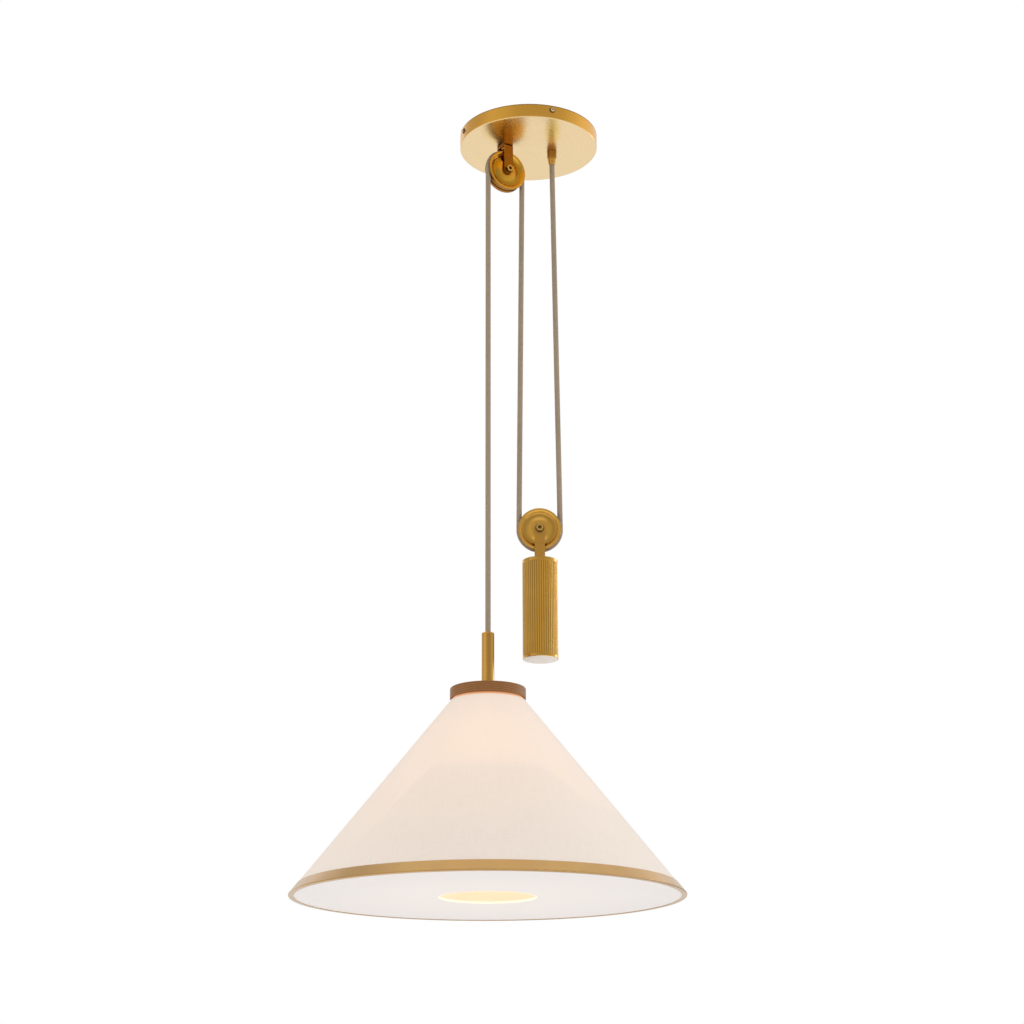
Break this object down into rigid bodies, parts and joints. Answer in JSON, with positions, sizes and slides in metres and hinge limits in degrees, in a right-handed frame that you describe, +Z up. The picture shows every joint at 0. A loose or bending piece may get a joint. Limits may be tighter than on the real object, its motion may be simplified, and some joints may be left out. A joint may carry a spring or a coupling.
{
  "type": "rise and fall pendant light",
  "caption": "Ceiling pendant whose fabric cone shade is raised and lowered on a cord over pulleys, balanced by a reeded brass counterweight.",
  "frame": {"origin": "centre of the canopy's plate on the ceiling plane", "axes": "+Z up into the ceiling, -Y towards the viewer of the picture, +X to the right"},
  "size_m": [0.508, 0.508, 1.093],
  "materials": {
    "satin_brass": "satin, brushed",
    "plated_steel": "bright zinc plate",
    "cord_fabric": "braided textile cover",
    "core_insulation": "matt",
    "cap_wood": "oiled, fine straight grain",
    "shade_linen": "fine woven, lit from inside",
    "opal_acrylic": "satin opal",
    "phenolic": "semi-gloss",
    "nylon": "matt",
    "bulb_glass": "inside-frosted",
    "lamp_cap": "rolled",
    "ballast": "bare mild steel bar, hidden",
    "base_pad": "satin, off-white"
  },
  "bodies": {
    "canopy": {"mounting_plate": "plated_steel", "mounting_tabs": "plated_steel", "ground_screw": "satin_brass", "terminal_block": "nylon", "terminal_screws": "satin_brass", "cord_cores": "core_insulation", "canopy_cup": "satin_brass", "canopy_rim_screws": "satin_brass", "cord_outlet": "satin_brass", "cord_outlet_nut": "plated_steel", "cord_canopy_end": "cord_fabric", "upper_bracket": "satin_brass", "upper_bracket_screw": "satin_brass", "upper_bracket_nut": "plated_steel", "upper_axle": "satin_brass", "upper_axle_washers": "satin_brass", "upper_axle_nut": "satin_brass", "upper_spacers": "nylon", "cord_over_pulley": "cord_fabric", "cord_feed": "cord_fabric", "cord_middle": "cord_fabric", "cord_drop": "cord_fabric"},
    "upper_pulley": {"upper_pulley": "satin_brass", "upper_pulley_bush": "nylon"},
    "weight": {"weight_bracket": "satin_brass", "weight_bracket_screw": "satin_brass", "lower_axle": "satin_brass", "lower_axle_washers": "satin_brass", "lower_axle_nut": "satin_brass", "lower_spacers": "nylon", "cord_under_pulley": "cord_fabric", "weight_top_cap": "satin_brass", "weight_sleeve": "satin_brass", "weight_core": "ballast", "weight_base_cap": "satin_brass", "weight_base_pad": "base_pad"},
    "lower_pulley": {"lower_pulley": "satin_brass", "lower_pulley_bush": "nylon"},
    "shade": {"cord_stem_end": "cord_fabric", "stem_cap": "satin_brass", "stem_tube": "satin_brass", "cord_clamp": "nylon", "cord_clamp_screws": "plated_steel", "threaded_nipple": "plated_steel", "shade_cap": "cap_wood", "shade_carrier": "plated_steel", "nipple_washer": "plated_steel", "nipple_nut": "plated_steel", "lampholder_cap": "phenolic", "lampholder_body": "phenolic", "lampholder_shell": "satin_brass", "lamp_base": "lamp_cap", "lamp_bulb": "bulb_glass", "shade_cone": "shade_linen", "shade_bottom_ring": "plated_steel", "shade_band": "satin_brass", "diffuser": "opal_acrylic"}
  },
  "joints": [
    {"name": "shade_slide", "type": "slide", "parent": "canopy", "child": "shade", "axis": [0, 0, 1], "range_m": [-0.6, 0.03], "deforming": ["cord_drop"]},
    {"name": "weight_slide", "type": "slide", "parent": "canopy", "child": "weight", "axis": [0, 0, 1], "range_m": [-0.016, 0.301], "deforming": ["cord_middle", "cord_feed"]},
    {"name": "upper_pulley_spin", "type": "hinge", "parent": "canopy", "child": "upper_pulley", "pos_m": [-0.03375, -0.00717, -0.059], "axis": [0.5105, -0.8599, 0], "range_deg": [-63, 1225]},
    {"name": "lower_pulley_spin", "type": "hinge", "parent": "weight", "child": "lower_pulley", "pos_m": [0.01208, 0.00717, -0.5929], "axis": [0, -1, 0], "range_deg": [-613, 32]}
  ],
  "couplings": [
    {"joint": "weight_slide", "follows": "shade_slide", "ratio": -0.5},
    {"joint": "upper_pulley_spin", "follows": "shade_slide", "rad_per_m": -35.587},
    {"joint": "lower_pulley_spin", "follows": "shade_slide", "rad_per_m": 17.794}
  ]
}
